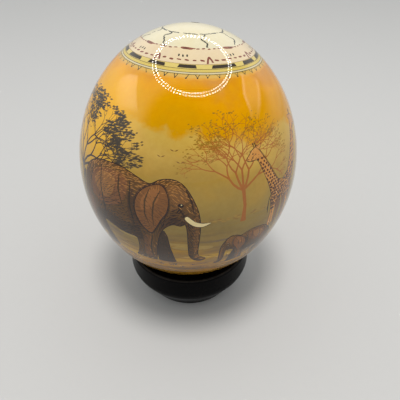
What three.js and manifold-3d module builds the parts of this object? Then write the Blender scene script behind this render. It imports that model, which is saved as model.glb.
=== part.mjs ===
// A decorated, blown ostrich egg resting in a turned wooden stand.
// Millimetres, +Z up. The origin is the centre of the stand's base, on the surface it stands on.
// The egg isn't fixed: it can be lifted out of the dish in the stand.
import * as THREE from 'three';
import { mergeVertices } from 'three/addons/utils/BufferGeometryUtils.js';
import Module from 'manifold-3d';

// Egg: a round body whose half profile is sqrt(1 - t * t) * (1 + SKEW * t + FULLNESS * t * t),
// where t runs from -1 at the lower end to 1 at the upper end.
const EGG_RADIUS = 62.5;
const EGG_HALF_LENGTH = 75.4;
const EGG_SKEW = -0.007;
const EGG_FULLNESS = -0.028;
const EGG_CENTRE_HEIGHT = 98.1;
const EGG_LEAN = THREE.MathUtils.degToRad(1.9);
const EGG_SEGMENTS = 48;
const EGG_RINGS = 30;

// The hole through which the egg was blown, just behind the upper end
const HOLE_RADIUS = 2.3;
const HOLE_DEPTH = 2.6;
const HOLE_FROM_AXIS = 9.5;
const HOLE_DIRECTION = THREE.MathUtils.degToRad(79);
const HOLE_SEGMENTS = 24;

// Stand: outer radii and heights
const STAND_HEIGHT = 33.3;
const BASE_RADIUS = 31.1;
const BASE_EDGE = 0.8;
const WIDEST_RADIUS = 41.3;
const WIDEST_HEIGHT = 21.5;
const SHOULDER_RADIUS = 11.4;
const TAPER_ANGLE = THREE.MathUtils.degToRad(30);
const RIM_RADIUS = 40.5;
const RIM_EDGE = 1.1;
const STAND_SEGMENTS = 64;

// Dish in the stand: a seat that fits the egg's end all round, and a relief under the end itself
const SEAT_GAP = 0.45;
const SEAT_TOUCHES_AT = -0.88;
const SEAT_INNER_RADIUS = 19;
const SEAT_EDGE = 0.7;
const SEAT_STEPS = 7;
const RELIEF_RADIUS = 16.5;
const RELIEF_HEIGHT = 21.4;

const profileShape = (t) => Math.sqrt(Math.max(0, 1 - t * t)) * (1 + EGG_SKEW * t + EGG_FULLNESS * t * t);

function widestShape() {
  const steps = 400;
  let widest = 0;
  for (let i = 0; i <= steps; i += 1) {
    widest = Math.max(widest, profileShape((2 * i) / steps - 1));
  }
  return widest;
}

const RADIUS_SCALE = EGG_RADIUS / widestShape();
const eggRadiusAt = (t) => RADIUS_SCALE * profileShape(t);

// How fast the egg's radius grows with height
function eggSlopeAt(t) {
  const step = 1e-4;
  return (eggRadiusAt(t + step) - eggRadiusAt(t - step)) / (2 * step * EGG_HALF_LENGTH);
}

// The sphere that touches the egg all round its end where the seat carries it. The egg can lean
// any way about the centre of this sphere and still touch the seat all round.
function seatSphere() {
  const radius = eggRadiusAt(SEAT_TOUCHES_AT);
  const height = SEAT_TOUCHES_AT * EGG_HALF_LENGTH;
  const drop = -(height + radius * eggSlopeAt(SEAT_TOUCHES_AT));
  return { drop, radius: Math.hypot(radius, height + drop) };
}

const SEAT = seatSphere();
const SEAT_CENTRE_HEIGHT = EGG_CENTRE_HEIGHT - SEAT.drop * Math.cos(EGG_LEAN);

// Points along an arc about (x, y), from one angle to another in radians
function arcPoints(x, y, radius, from, to, steps) {
  const points = [];
  for (let i = 0; i <= steps; i += 1) {
    const angle = from + ((to - from) * i) / steps;
    points.push(new THREE.Vector2(x + radius * Math.cos(angle), y + radius * Math.sin(angle)));
  }
  return points;
}

// A turned solid: the profile is (radius, height) and starts and ends on the axis
function turned(points, segments) {
  return new THREE.LatheGeometry(points, segments).rotateX(Math.PI / 2);
}

// Triangles over shared corners, without the ones that close up to a line on the axis
function solidTriangles(geometry) {
  const bare = geometry.clone();
  bare.deleteAttribute('normal');
  bare.deleteAttribute('uv');
  const merged = mergeVertices(bare, 1e-4);
  const index = merged.index.array;
  const kept = [];
  for (let i = 0; i < index.length; i += 3) {
    const [a, b, c] = [index[i], index[i + 1], index[i + 2]];
    if (a !== b && b !== c && c !== a) kept.push(a, b, c);
  }
  return { vertProperties: new Float32Array(merged.attributes.position.array), triVerts: new Uint32Array(kept) };
}

function cut(wasm, bodyGeometry, toolGeometry) {
  const solidOf = (geometry) => new wasm.Manifold(new wasm.Mesh({ numProp: 3, ...solidTriangles(geometry) }));
  const result = solidOf(bodyGeometry).subtract(solidOf(toolGeometry)).getMesh();
  const geometry = new THREE.BufferGeometry();
  geometry.setAttribute('position', new THREE.BufferAttribute(result.vertProperties, 3));
  geometry.setIndex(new THREE.BufferAttribute(result.triVerts, 1));
  geometry.computeVertexNormals();
  return geometry;
}

function eggBody() {
  const points = [];
  for (let i = 0; i <= EGG_RINGS; i += 1) {
    const t = Math.sin(Math.PI * (i / EGG_RINGS - 0.5));
    const onAxis = i === 0 || i === EGG_RINGS;
    points.push(new THREE.Vector2(onAxis ? 0 : eggRadiusAt(t), t * EGG_HALF_LENGTH));
  }
  return turned(points, EGG_SEGMENTS);
}

// A short cylinder across the shell, square to it, at the hole's distance from the axis
function holeTool() {
  let t = 1;
  while (eggRadiusAt(t) < HOLE_FROM_AXIS) t -= 1e-4;
  const outward = new THREE.Vector3(1, 0, -eggSlopeAt(t)).normalize();
  const upright = new THREE.Vector3(0, 1, 0);
  const tool = new THREE.CylinderGeometry(HOLE_RADIUS, HOLE_RADIUS, 2 * HOLE_DEPTH, HOLE_SEGMENTS);
  tool.applyQuaternion(new THREE.Quaternion().setFromUnitVectors(upright, outward));
  tool.translate(eggRadiusAt(t), 0, t * EGG_HALF_LENGTH);
  tool.rotateZ(HOLE_DIRECTION);
  return tool;
}

function standBody() {
  const shoulderX = WIDEST_RADIUS - SHOULDER_RADIUS;
  const seatRadius = SEAT.radius + SEAT_GAP;
  const seatTop = Math.asin((STAND_HEIGHT - SEAT_EDGE - SEAT_CENTRE_HEIGHT) / seatRadius);
  const seatFoot = -Math.acos(SEAT_INNER_RADIUS / seatRadius);
  const landRadius = seatRadius * Math.cos(seatTop) + 1.5 * SEAT_EDGE;
  const right = 0;
  const up = Math.PI / 2;
  const points = [
    new THREE.Vector2(0, 0),
    ...arcPoints(BASE_RADIUS - BASE_EDGE, BASE_EDGE, BASE_EDGE, -up, right, 3),
    ...arcPoints(shoulderX, WIDEST_HEIGHT, SHOULDER_RADIUS, -TAPER_ANGLE, right, 5),
    ...arcPoints(RIM_RADIUS - RIM_EDGE, STAND_HEIGHT - RIM_EDGE, RIM_EDGE, right, up, 4),
    new THREE.Vector2(landRadius, STAND_HEIGHT),
    ...arcPoints(0, SEAT_CENTRE_HEIGHT, seatRadius, seatTop, seatFoot, SEAT_STEPS),
    new THREE.Vector2(RELIEF_RADIUS, RELIEF_HEIGHT),
    new THREE.Vector2(0, RELIEF_HEIGHT),
  ];
  return turned(points, STAND_SEGMENTS);
}

const eggFinish = new THREE.MeshStandardMaterial({ color: '#d79a3c', roughness: 0.12, metalness: 0 });
const standFinish = new THREE.MeshStandardMaterial({ color: '#101010', roughness: 0.25, metalness: 0 });

const wasm = await Module();
wasm.setup();

const egg = new THREE.Mesh(cut(wasm, eggBody(), holeTool()), eggFinish);
egg.name = 'egg';
egg.position.z = SEAT.drop;

const leaning = new THREE.Group();
leaning.position.z = SEAT_CENTRE_HEIGHT;
leaning.rotation.y = EGG_LEAN;
leaning.add(egg);

const stand = new THREE.Mesh(standBody(), standFinish);
stand.name = 'stand';

const object = new THREE.Group();
object.add(stand, leaning);

export default object;
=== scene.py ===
"""A decorated ostrich egg resting in a turned black stand, on a plain pale floor."""
import math
import random

import bmesh
import bpy
import numpy as np
from mathutils import Matrix, Vector
from mathutils.bvhtree import BVHTree
from mathutils.geometry import delaunay_2d_cdt
from mathutils.kdtree import KDTree


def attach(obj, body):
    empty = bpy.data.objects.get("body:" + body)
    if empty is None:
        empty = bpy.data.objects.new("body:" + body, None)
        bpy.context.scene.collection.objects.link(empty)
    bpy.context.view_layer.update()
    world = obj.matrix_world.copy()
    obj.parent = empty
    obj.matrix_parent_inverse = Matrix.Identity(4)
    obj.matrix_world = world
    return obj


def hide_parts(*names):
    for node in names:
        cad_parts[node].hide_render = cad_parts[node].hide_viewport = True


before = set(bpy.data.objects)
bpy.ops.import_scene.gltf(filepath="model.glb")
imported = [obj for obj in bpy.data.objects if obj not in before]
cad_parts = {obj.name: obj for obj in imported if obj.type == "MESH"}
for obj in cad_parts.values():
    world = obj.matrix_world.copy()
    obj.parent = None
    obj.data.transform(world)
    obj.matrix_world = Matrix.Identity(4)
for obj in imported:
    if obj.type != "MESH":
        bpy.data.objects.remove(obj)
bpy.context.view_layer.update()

MM = 0.001
DEGREE = math.pi / 180

# The egg, in millimetres: its half profile is sqrt(1 - t * t) * (1 + SKEW * t + FULLNESS * t * t),
# where t runs from -1 at the lower end to 1 at the upper end.
EGG_RADIUS = 62.5
EGG_HALF_LENGTH = 75.4
EGG_SKEW = -0.007
EGG_FULLNESS = -0.028
EGG_CENTRE_HEIGHT = 98.1
EGG_LEAN = 1.9 * DEGREE

# The hole through which the egg was blown
HOLE_RADIUS = 2.3
HOLE_DEPTH = 2.4
HOLE_FROM_AXIS = 9.5
HOLE_LONGITUDE = 169 * DEGREE

# The stand, in millimetres
STAND_HEIGHT = 33.3
BASE_RADIUS = 31.1
BASE_EDGE = 0.8
WIDEST_RADIUS = 41.3
WIDEST_HEIGHT = 21.5
SHOULDER_RADIUS = 11.4
TAPER_ANGLE = 30 * DEGREE
RIM_RADIUS = 40.5
RIM_EDGE = 1.1
SEAT_GAP = 0.45
SEAT_TOUCHES_AT = -0.88
SEAT_INNER_RADIUS = 19
SEAT_EDGE = 0.7
RELIEF_RADIUS = 16.5
RELIEF_HEIGHT = 21.4
STAND_SEGMENTS = 240


# ---------------------------------------------------------------- the egg's surface

def profile_shape(t):
    """The half profile by t, before it is scaled to the egg's radius."""
    return np.sqrt(np.maximum(0, 1 - t * t)) * (1 + EGG_SKEW * t + EGG_FULLNESS * t * t)


def egg_profile(steps=4000):
    """Radius, height and length along the surface from the upper end, as three arrays."""
    t = np.cos(np.linspace(0, math.pi, steps + 1))
    shape = profile_shape(t)
    radius = EGG_RADIUS * shape / shape.max()
    height = EGG_HALF_LENGTH * t
    steps_along = np.hypot(np.diff(radius), np.diff(height))
    return radius, height, np.concatenate([[0], np.cumsum(steps_along)])


PROFILE_RADIUS, PROFILE_HEIGHT, PROFILE_ARC = egg_profile()
EQUATOR_INDEX = int(PROFILE_RADIUS.argmax())
EQUATOR_ARC = PROFILE_ARC[EQUATOR_INDEX]


def seat_sphere():
    """How far below the egg's centre the sphere that the seat fits is centred, and its radius."""
    height = SEAT_TOUCHES_AT * EGG_HALF_LENGTH
    i = int(np.abs(PROFILE_HEIGHT - height).argmin())
    run = PROFILE_HEIGHT[i + 1] - PROFILE_HEIGHT[i - 1]
    slope = (PROFILE_RADIUS[i + 1] - PROFILE_RADIUS[i - 1]) / run
    drop = -(PROFILE_HEIGHT[i] + PROFILE_RADIUS[i] * slope)
    return drop, math.hypot(PROFILE_RADIUS[i], PROFILE_HEIGHT[i] + drop)


SEAT_DROP, SEAT_SPHERE_RADIUS = seat_sphere()
SEAT_CENTRE_HEIGHT = EGG_CENTRE_HEIGHT - SEAT_DROP * math.cos(EGG_LEAN)
LEAN = Matrix.Rotation(EGG_LEAN, 3, "Y")
LEAN_ROWS = np.array([list(row) for row in LEAN])
EGG_CENTRE = np.array([SEAT_DROP * math.sin(EGG_LEAN), 0, EGG_CENTRE_HEIGHT])


def on_egg(peel):
    """Places and normals on the egg of points of its peel.

    The peel is the egg's surface laid flat round its upper end: a point's distance from the
    middle is its distance along the surface from that end, and its direction is unchanged.
    """
    arc = np.hypot(peel[:, 0], peel[:, 1])
    along = peel / np.maximum(arc, 1e-9)[:, None]
    radius = np.interp(arc, PROFILE_ARC, PROFILE_RADIUS)
    height = np.interp(arc, PROFILE_ARC, PROFILE_HEIGHT)
    rise = np.interp(arc, PROFILE_ARC, np.gradient(PROFILE_HEIGHT, PROFILE_ARC))
    spread = np.interp(arc, PROFILE_ARC, np.gradient(PROFILE_RADIUS, PROFILE_ARC))
    places = np.column_stack([along * radius[:, None], height])
    normals = np.column_stack([-along * rise[:, None], spread])
    normals /= np.linalg.norm(normals, axis=1)[:, None]
    return places @ LEAN_ROWS.T + EGG_CENTRE, normals @ LEAN_ROWS.T


# ---------------------------------------------------------------- the printed skin

GRID_STEP = 3.0
GRID_SECTORS = 144
SKIN_END = PROFILE_ARC[-1] - 1.2


def linear(code):
    """The red, green and blue of a colour such as #d8a040, in linear light."""
    parts = [int(code[i:i + 2], 16) / 255 for i in (1, 3, 5)]
    return [p / 12.92 if p <= 0.04045 else ((p + 0.055) / 1.055) ** 2.4 for p in parts]


class Print:
    """Flat shapes on the egg's peel, each over the ones before it."""

    def __init__(self):
        self.shapes = []

    def add(self, outline, colour, cover=1.0, within=None):
        """Adds a shape and returns its number. within limits it to an earlier shape."""
        outline = np.asarray(outline, float)
        following = np.roll(outline, -1, 0)
        doubled = outline[:, 0] * following[:, 1] - outline[:, 1] * following[:, 0]
        if doubled.sum() < 0:
            outline = outline[::-1]
        self.shapes.append({"outline": outline, "ink": linear(colour) + [cover], "within": within})
        return len(self.shapes) - 1

    def ink_of(self, numbers):
        """The ink where the shapes with these numbers lie over each other."""
        ink = [0.0, 0.0, 0.0, 0.0]
        present = set(numbers)
        for number in sorted(numbers):
            shape = self.shapes[number]
            if shape["within"] is not None and shape["within"] not in present:
                continue
            red, green, blue, cover = shape["ink"]
            rest = ink[3] * (1 - cover)
            total = cover + rest
            mixed = [(new * cover + old * rest) / total for new, old in zip((red, green, blue), ink)]
            ink = mixed + [total]
        return ink


# ---------------------------------------------------------------- ornament round the upper end

# Each ring of the ornament is a circle whose centre lies behind the egg's axis and a little right of it.
UPPER = slice(0, EQUATOR_INDEX)
CAP_SHIFT = 0.8
CAP_FRONT_RADIUS = 33
CAP_TURN = CAP_SHIFT / CAP_FRONT_RADIUS
INK_BLACK = "#332d25"
INK_RED = "#7d4636"
BEAD_RED = "#85503f"

# Discs from the outside in: radius, how far back the centre lies, colour, cover and ripple
TICK_BAND = [
    (37.1, 2.1, "#dda038", 0.6, 0.004),
    (36.65, 2.1, "#d6a345", 0.85, 0.003),
    (36.2, 2.1, "#d2aa54", 1.0, 0.002),
]
RULED_RINGS = [
    (35.2, 2.1, "#5b513c"),
    (34.97, 2.1, "#c9bc84"),
    (34.72, 2.1, "#d3c9b0"),
    (34.4, 2.1, "#62583f"),
    (34.17, 2.1, "#cfb962"),
    (33.2, 2.2, "#6d5a35"),
    (32.98, 2.2, "#d2bf70"),
]
CREAM_DISCS = [
    (31.42, 2.5, "#8c6d4c"),
    (31.25, 2.5, "#d9c7a9"),
    (25.2, 4.4, "#d8d2b9", 0.85),
]

# The chequered band: where each dark check starts and ends, in degrees from the front
CHECKS = [
    (-113, -96), (-87, -71), (-62, -44), (-35, -20), (-9.2, 5), (17.5, 39), (48, 64), (71, 96), (106, 122),
    (131, 148), (157, 174), (183, 198), (208, 223), (232, 238),
]
CHECK_OUTSIDE = 32.9
CHECK_INSIDE = 31.4
CHECK_BACK = 2.3

# What repeats round the egg inside and outside the checks: radius and how far back the centre lies
MARK_COUNT = 48
MARK_LINE_RADIUS, MARK_TIP_RADIUS, MARK_BACK = 35.1, 36.3, 2.1
SECTOR_COUNT = 8
DASH_RADIUS, DASH_BACK = 29.8, 2.9
TICK_RADIUS, TICK_BACK = 28.4, 3.4
BEAD_RADIUS, BEAD_BACK = 25.4, 4.4
BEAD_TAIL_RADIUS = 25.35

# The cells: the ring round the bare middle, and spokes at these inner and outer angles in degrees
CELL_RADIUS = 15
CELL_DEPTH = 10
SPOKE_STEPS = 13
SPOKES = [(-75, -69), (-42, -29), (21.7, 16), (68, 59), (113, 118), (158, 152), (200, 206), (243, 247)]


def cap_point(radius, angle, back):
    """A point of the peel from a ring's radius, the angle from the front and how far back it is."""
    x = CAP_SHIFT + radius * math.sin(angle - CAP_TURN)
    y = back - radius * math.cos(angle - CAP_TURN)
    out = math.hypot(x, y)
    arc = np.interp(out, PROFILE_RADIUS[UPPER], PROFILE_ARC[UPPER])
    return x * arc / out, y * arc / out


def cap_disc(pattern, radius, back, colour, cover=1.0, ripple=0.0, count=200):
    """A disc over everything outside it, with a slightly uneven edge."""
    outline = []
    for i in range(count):
        turn = 2 * math.pi * i / count
        wave = 1 + ripple * (math.sin(9 * turn) + math.sin(23 * turn + 1) + math.sin(41 * turn + 2))
        outline.append(cap_point(radius * wave, turn, back))
    pattern.add(outline, colour, cover)


def cap_dash(pattern, radius, angle, back, length, width, colour, skew=0.0, count=14):
    """A rounded dash along a ring: length round the ring and width across it."""
    outline = []
    for i in range(count):
        turn = 2 * math.pi * i / count
        along = math.copysign(abs(math.cos(turn)) ** 0.6, math.cos(turn)) * length / 2
        across = math.copysign(abs(math.sin(turn)) ** 0.8, math.sin(turn)) * width / 2
        outline.append(cap_point(radius + across + skew * along, angle + along / radius, back))
    pattern.add(outline, colour)


def cap_bar(pattern, corners, back, colour, steps=6):
    """A shape whose corners are (radius, angle), with its edges along rings kept round."""
    outline = []
    for (r0, a0), (r1, a1) in zip(corners, corners[1:] + corners[:1]):
        for i in range(steps):
            part = i / steps
            outline.append(cap_point(r0 + (r1 - r0) * part, a0 + (a1 - a0) * part, back))
    pattern.add(outline, colour)


def cap_ornament(pattern):
    """Everything round the upper end, from the outermost band inwards."""
    rng = random.Random(8)
    for disc in TICK_BAND:
        cap_disc(pattern, *disc)
    for i in range(MARK_COUNT):
        cap_hanging_mark(pattern, (-1.7 + 360 / MARK_COUNT * i) * DEGREE, rng)
    for disc in RULED_RINGS:
        cap_disc(pattern, *disc)
    for start, end in CHECKS:
        cap_check(pattern, start * DEGREE, end * DEGREE, rng)
    for disc in CREAM_DISCS:
        cap_disc(pattern, *disc)
    for k in range(SECTOR_COUNT):
        chevron = -28.8 + 45.6 * k if k < 4 else -29.5 + 45 * k
        cap_dashes(pattern, chevron * DEGREE, rng)
        cap_ticks(pattern, (-52 + 45.6 * k) * DEGREE, rng)
        cap_bead(pattern, (-49.2 + 45.3 * k) * DEGREE, rng)
    cap_cells(pattern, rng)


def cap_hanging_mark(pattern, angle, rng):
    """A small open V that hangs from the outermost line, with a dark tip."""
    half = rng.uniform(0.85, 1.15) / 35
    tip = MARK_TIP_RADIUS + rng.uniform(-0.2, 0.25)
    foot = angle + rng.uniform(-0.35, 0.35) / 35
    thick = rng.uniform(0.12, 0.2) / 35
    for side in (-1, 1):
        if rng.random() < 0.12:
            continue
        start = angle + side * half
        corners = [
            (MARK_LINE_RADIUS, start - thick), (MARK_LINE_RADIUS, start + thick),
            (tip, foot + thick), (tip, foot - thick),
        ]
        cap_bar(pattern, corners, MARK_BACK, INK_BLACK, 2)
    cap_dash(pattern, tip, foot, MARK_BACK, rng.uniform(0.45, 0.8), 0.5, INK_BLACK, 0.0, 8)


def cap_check(pattern, start, end, rng):
    """A dark check with ragged corners."""
    ragged = [rng.uniform(-0.1, 0.1) for _ in range(4)]
    corners = [
        (CHECK_OUTSIDE + ragged[0], start - 0.006), (CHECK_OUTSIDE + ragged[1], end + 0.008),
        (CHECK_INSIDE + ragged[2], end - 0.004), (CHECK_INSIDE + ragged[3], start + 0.016),
    ]
    cap_bar(pattern, corners, CHECK_BACK, "#302b1c")


def cap_dashes(pattern, middle, rng):
    """A chevron and the six dashes on its right."""
    cap_chevron(pattern, middle)
    for i in range(6):
        angle = middle + (6.3 + 6.6 * i) * DEGREE
        length = rng.uniform(1.7, 2.5)
        radius = DASH_RADIUS + rng.uniform(-0.2, 0.2)
        width = rng.uniform(0.6, 0.9)
        cap_dash(pattern, radius, angle, DASH_BACK, length, width, INK_RED, rng.uniform(-0.16, 0.16))


def cap_chevron(pattern, angle):
    """A small arch with its apex towards the egg's end and its left leg a little longer."""
    sides = [k / 4 - 1 for k in range(9)]
    outer = [(28.1 + (3.4 if t < 0 else 2.9) * abs(t) ** 2.2, angle + 1.7 * t / 30) for t in sides]
    inner = [(29.3 + (2.2 if t < 0 else 1.7) * abs(t) ** 1.8, angle + 0.8 * t / 30) for t in sides]
    cap_bar(pattern, outer + inner[::-1], DASH_BACK, INK_RED, 1)


def cap_ticks(pattern, middle, rng):
    """Three short ticks side by side."""
    for i in (-1, 0, 1):
        radius = TICK_RADIUS + rng.uniform(-0.15, 0.15)
        lean = rng.uniform(-0.5, 0.5)
        cap_dash(pattern, radius, middle + i * 3.7 * DEGREE, TICK_BACK, 0.8, 1.3, INK_BLACK, lean, 8)


def cap_bead(pattern, angle, rng):
    """A long dark red bead with its tail and flecks, and the five dashes on its right."""
    cap_dash(pattern, BEAD_RADIUS, angle, BEAD_BACK, 5.6, 1.4, BEAD_RED, 0.08)
    cap_dash(pattern, BEAD_TAIL_RADIUS, angle + 5.6 * DEGREE, BEAD_BACK, 3.0, 0.65, BEAD_RED, 0.1)
    for _ in range(4):
        radius = BEAD_RADIUS + rng.uniform(-0.25, 0.25)
        fleck = angle + rng.uniform(-5.2, 5.2) * DEGREE
        cap_dash(pattern, radius, fleck, BEAD_BACK, rng.uniform(0.7, 1.5), 0.5, "#5a352a")
    for i in range(5):
        radius = BEAD_RADIUS + rng.uniform(-0.25, 0.25)
        length = rng.uniform(1.2, 1.9)
        width = rng.uniform(0.55, 0.8)
        cap_dash(pattern, radius, angle + (11.2 + 5.7 * i) * DEGREE, BEAD_BACK, length, width, INK_RED,
                 rng.uniform(-0.2, 0.2))


def cap_cells(pattern, rng):
    """Broken, wandering lines: a ring round the bare middle, and spokes out to the beads."""
    previous_angle = SPOKES[-1][0] - 360
    for inner_angle, outer_angle in SPOKES:
        line = []
        for i in range(SPOKE_STEPS + 1):
            part = i / SPOKE_STEPS
            sway = 4.2 * math.sin(5 * part + inner_angle) + 2.0 * math.sin(12 * part)
            angle = inner_angle + (outer_angle - inner_angle) * part + sway
            radius = CELL_RADIUS + CELL_DEPTH * part + rng.uniform(-0.25, 0.25)
            line.append((radius, (angle + rng.uniform(-1, 1)) * DEGREE))
        cap_broken_line(pattern, line, 4.0, rng)
        ring = []
        span = inner_angle - previous_angle
        steps = max(6, round(span / 3.8))
        for i in range(steps + 1):
            part = i / steps
            radius = CELL_RADIUS - 0.4 * math.sin(math.pi * part) + rng.uniform(-0.35, 0.35)
            ring.append((radius, (previous_angle + span * part) * DEGREE))
        cap_broken_line(pattern, ring, 3.8, rng)
        previous_angle = inner_angle


def cap_broken_line(pattern, line, back, rng):
    """A line through points given as (radius, angle), uneven and broken here and there."""
    for (r0, a0), (r1, a1) in zip(line, line[1:]):
        if rng.random() < 0.1:
            continue
        start, end = rng.uniform(-0.08, 0.08), rng.uniform(0.88, 1.1)
        p = np.array(cap_point(r0 + (r1 - r0) * start, a0 + (a1 - a0) * start, back))
        q = np.array(cap_point(r0 + (r1 - r0) * end, a0 + (a1 - a0) * end, back))
        side = np.array([-(q - p)[1], (q - p)[0]])
        side *= rng.uniform(0.24, 0.44) / np.linalg.norm(side)
        middle = (p + q) / 2
        pattern.add([p - side, middle - 1.25 * side, q - side, q + side, middle + side, p + side], INK_BLACK)


# ---------------------------------------------------------------- pictures round the side

class Sheet:
    """A drawing sheet on the egg's side, in millimetres across and up from a point."""

    def __init__(self, longitude, rise, scale=1.0, flip=False):
        """longitude is in degrees from the front and rise in millimetres above the equator."""
        self.longitude = longitude * DEGREE
        self.rise = rise
        self.scale = scale
        self.across = -scale if flip else scale

    def on_peel(self, points):
        """Where points of the sheet are on the peel."""
        points = np.asarray(points, float)
        arc = EQUATOR_ARC - self.rise - points[:, 1] * self.scale
        longitude = self.longitude + points[:, 0] * self.across / np.interp(arc, PROFILE_ARC, PROFILE_RADIUS)
        return np.column_stack([arc * np.sin(longitude), -arc * np.cos(longitude)])


def smooth(corners, parts=4):
    """A closed curve through the corners."""
    corners = np.asarray(corners, float)
    before, after = np.roll(corners, 1, 0), np.roll(corners, -1, 0)
    beyond = np.roll(corners, -2, 0)
    curve = []
    for k in range(parts):
        t = k / parts
        curve.append(0.5 * (2 * corners + (after - before) * t
                            + (2 * before - 5 * corners + 4 * after - beyond) * t ** 2
                            + (3 * corners - before - 3 * after + beyond) * t ** 3))
    return np.stack(curve, 1).reshape(-1, 2)


def grown(outline, by):
    """The outline moved outwards."""
    along = np.roll(outline, -1, 0) - np.roll(outline, 1, 0)
    along /= np.maximum(np.linalg.norm(along, axis=1), 1e-6)[:, None]
    following = np.roll(outline, -1, 0)
    area = (outline[:, 0] * following[:, 1] - outline[:, 1] * following[:, 0]).sum()
    side = 1 if area > 0 else -1
    return outline + by * side * np.column_stack([along[:, 1], -along[:, 0]])


def inside(points, outline):
    """Which of the points are inside the outline."""
    following = np.roll(outline, -1, 0)
    x, y = points[:, 0, None], points[:, 1, None]
    crosses = (outline[:, 1] > y) != (following[:, 1] > y)
    with np.errstate(divide="ignore", invalid="ignore"):
        part = (y - outline[:, 1]) / (following[:, 1] - outline[:, 1])
        at = outline[:, 0] + part * (following - outline)[:, 0]
    return (crosses & (x < at)).sum(1) % 2 == 1


def nearest_on(points, outline):
    """The nearest places on the outline to the points."""
    run = np.roll(outline, -1, 0) - outline
    part = ((points[:, None] - outline) * run).sum(2) / np.maximum((run * run).sum(1), 1e-9)
    places = outline + np.clip(part, 0, 1)[:, :, None] * run
    distance = np.linalg.norm(points[:, None] - places, axis=2)
    return places[np.arange(len(points)), distance.argmin(1)]


class Picture:
    """Draws on the print through a sheet."""

    def __init__(self, pattern, sheet, seed):
        self.pattern = pattern
        self.sheet = sheet
        self.rng = np.random.RandomState(seed)

    def fill(self, outline, colour, cover=1.0, within=None, edge=None, edge_width=0.3):
        """A shape, with a darker edge round it if the edge has a colour."""
        if edge is not None:
            rim = self.sheet.on_peel(grown(outline, edge_width / self.sheet.scale))
            self.pattern.add(rim, edge, cover, within)
        return self.pattern.add(self.sheet.on_peel(outline), colour, cover, within)

    def stroke(self, start, end, width, colour, cover=1.0, within=None, belly=0.5):
        """A stroke with pointed ends."""
        start, end = np.asarray(start, float), np.asarray(end, float)
        along = end - start
        side = np.array([-along[1], along[0]]) / max(np.hypot(*along), 1e-6) * width / 2
        middle = start + along * belly
        outline = np.array([start, middle - side, end, middle + side])
        return self.pattern.add(self.sheet.on_peel(outline), colour, cover, within)

    def ribbon(self, points, widths, colour, cover=1.0, within=None):
        """A band along the points."""
        points = np.asarray(points, float)
        along = np.gradient(points, axis=0)
        along /= np.maximum(np.linalg.norm(along, axis=1), 1e-6)[:, None]
        half = np.asarray(widths, float)[:, None] / 2
        side = np.column_stack([-along[:, 1], along[:, 0]]) * half
        outline = np.vstack([points - side, (points + side)[::-1]])
        return self.pattern.add(self.sheet.on_peel(outline), colour, cover, within)

    def engrave(self, outline, number, inks, pitch=1.5, length=3.4, reach=5.0, turn=25.0, weight=1.0):
        """Fine strokes that shade a form as round, lit from above."""
        dark, deep, light = inks
        low, high = outline.min(0), outline.max(0)
        xs = np.arange(low[0], high[0], pitch)
        ys = np.arange(low[1], high[1], pitch)
        points = np.array([(x, y) for y in ys for x in xs])
        points += self.rng.uniform(-0.5, 0.5, points.shape) * pitch
        points = points[inside(points, outline)]
        if not len(points):
            return
        inward = points - nearest_on(points, outline)
        depth = np.linalg.norm(inward, axis=1)
        inward /= np.maximum(depth, 1e-6)[:, None]
        lit = -(inward @ np.array([-0.3, 0.95])) * np.exp(-depth / reach)
        tone = 0.45 - 0.55 * lit + self.rng.uniform(-0.16, 0.16, len(points))
        heading = np.arctan2(inward[:, 1], inward[:, 0]) + turn * DEGREE
        heading += self.rng.uniform(-0.2, 0.2, len(points))
        for point, shade, angle in zip(points, tone, heading):
            half = np.array([math.cos(angle), math.sin(angle)]) * length / 2 * self.rng.uniform(0.6, 1.15)
            if shade > 0.62:
                self.stroke(point - half, point + half, weight * (0.35 + 0.35 * shade), deep, 1.0, number)
            elif shade > 0.34:
                self.stroke(point - half, point + half, weight * (0.12 + 0.5 * shade), dark, 1.0, number)
            elif shade < 0.2:
                self.stroke(point - 0.8 * half, point + 0.8 * half, weight * 0.45, light, 0.85, number)


ELEPHANT = [
    (20, 54.5), (25, 53.5), (30, 51), (36, 53), (42, 55), (48, 55.5), (60, 53.5), (68, 49.5), (73, 44),
    (76, 37), (77, 30), (76.5, 22), (75.5, 14), (75, 8), (76, 3), (76.5, 0.5), (72, 0), (65.5, 0),
    (65, 2.5), (64.5, 8), (63, 15), (60, 20), (54, 19.5), (47, 18), (40, 18), (38, 16), (37.5, 9),
    (38.5, 3), (39, 0.5), (35, 0), (28.5, 0), (28, 2.5), (28, 9), (27.5, 17), (26, 24), (24, 28),
    (20, 31), (16, 30.5), (13.5, 31.5), (12.5, 27), (12, 20), (11.5, 13), (10.5, 7), (8, 3.5), (4.5, 2.5),
    (2.5, 4.5), (4.5, 6.2), (6.5, 8), (7, 13), (6.8, 20), (6.5, 28), (7, 36), (9, 43), (12.5, 50),
    (16, 53.5),
]
ELEPHANT_FAR_LEGS = [
    [(24, 26), (21, 14), (18.5, 4), (18, 0.5), (26, 0.5), (27, 5), (30, 16), (32, 24)],
    [(62, 22), (58, 13), (53.5, 5), (52, 0.6), (60, 0.6), (61.5, 6), (65, 13), (68, 20)],
]
ELEPHANT_EAR = [
    (24, 51), (30, 50), (36, 45), (38.5, 37), (36, 29), (31, 24), (28.5, 27), (25.5, 33), (22.5, 38),
    (21.5, 45),
]
ELEPHANT_EAR_LIT = [(26, 49), (30, 48), (34.5, 43), (35, 37), (30, 39), (26, 44)]
ELEPHANT_TUSK = [(13.8, 34.5), (10, 30.8), (5.5, 29.8), (1.2, 32), (5, 31.8), (9, 33), (12.5, 36)]
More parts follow.
